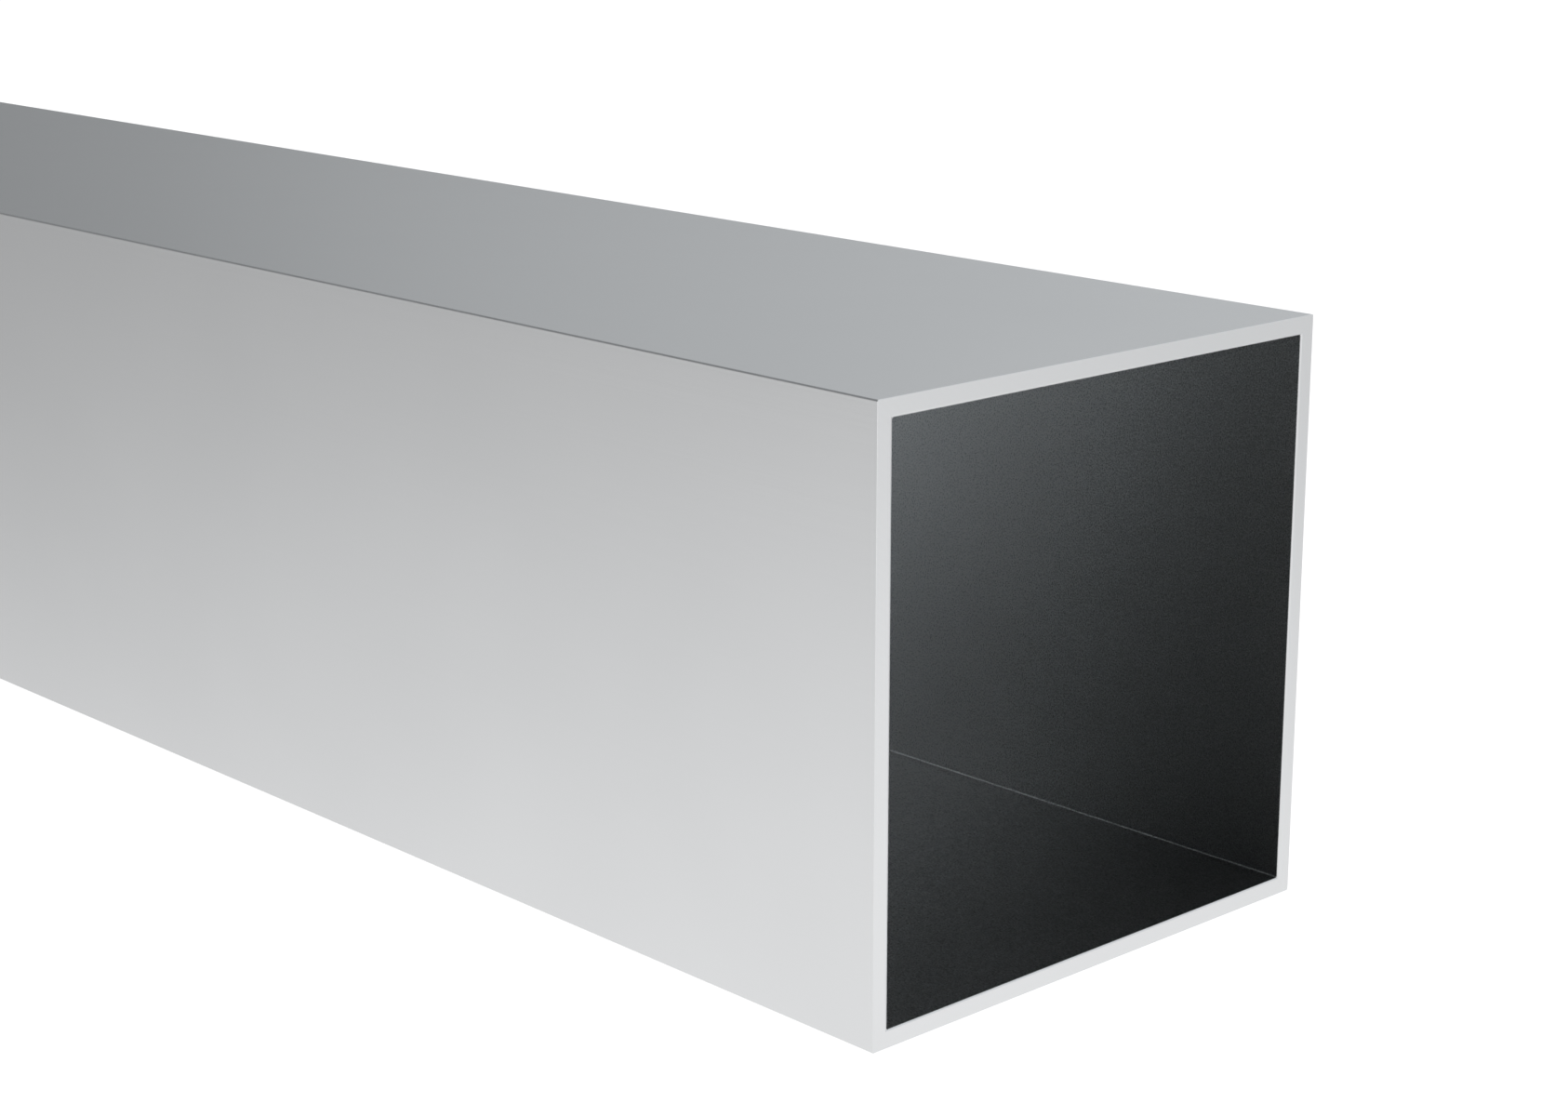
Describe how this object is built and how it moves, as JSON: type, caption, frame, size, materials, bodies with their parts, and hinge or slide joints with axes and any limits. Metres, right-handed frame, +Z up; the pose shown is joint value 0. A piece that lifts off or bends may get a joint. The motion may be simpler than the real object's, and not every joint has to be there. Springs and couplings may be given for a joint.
{
  "type": "square metal tube",
  "caption": "Straight square tube of thin-walled extruded metal, open right through, with nearly sharp corners and square-sawn ends, for frames, posts and rails.",
  "frame": {"origin": "middle of the face that the tube lies on, half-way along its length", "axes": "+X along the tube, towards the sawn end that faces the camera; +Z up, square to the face that it lies on; +Y across, towards the far side"},
  "size_m": [0.5, 0.1, 0.1],
  "materials": {
    "anodised_aluminium": "satin clear anodised"
  },
  "bodies": {
    "root": {"square_tube": "anodised_aluminium"}
  },
  "joints": []
}
